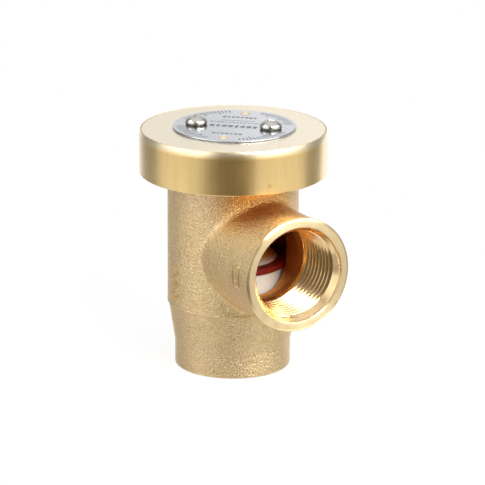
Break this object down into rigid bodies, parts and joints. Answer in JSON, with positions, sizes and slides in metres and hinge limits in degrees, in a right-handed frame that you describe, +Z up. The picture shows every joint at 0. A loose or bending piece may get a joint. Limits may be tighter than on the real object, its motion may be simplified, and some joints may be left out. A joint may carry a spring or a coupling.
{
  "type": "atmospheric vacuum breaker",
  "caption": "Angle-pattern cast brass vacuum breaker: threaded inlet below, threaded side outlet, lifting float inside and a vented round hood on top.",
  "frame": {"origin": "centre of the inlet face, on the barrel's axis", "axes": "+Z up the barrel's axis towards the hood, +X out of the side outlet"},
  "size_m": [0.065, 0.0544, 0.0737],
  "materials": {
    "cast_brass": "sand cast and shot blasted, machined on the outlet and inlet faces",
    "turned_brass": "turned, satin",
    "plate_aluminium": "thin sheet, satin",
    "stainless": "bright stainless steel",
    "white_acetal": "moulded, semi-gloss",
    "red_silicone": "matte silicone rubber",
    "gasket": "matte"
  },
  "bodies": {
    "valve": {"valve_body": "cast_brass", "bonnet_gasket": "gasket", "bonnet": "turned_brass", "hood": "turned_brass", "nameplate": "plate_aluminium", "nameplate_pins": "turned_brass", "hood_screws": "stainless"},
    "float": {"float_cup": "white_acetal", "seal_disc": "red_silicone", "disc_retainer": "white_acetal", "retainer_washer": "stainless", "retainer_screw": "stainless"}
  },
  "joints": [
    {"name": "float_lift", "type": "slide", "parent": "valve", "child": "float", "axis": [0, 0, 1], "range_m": [0, 0.0166]}
  ]
}
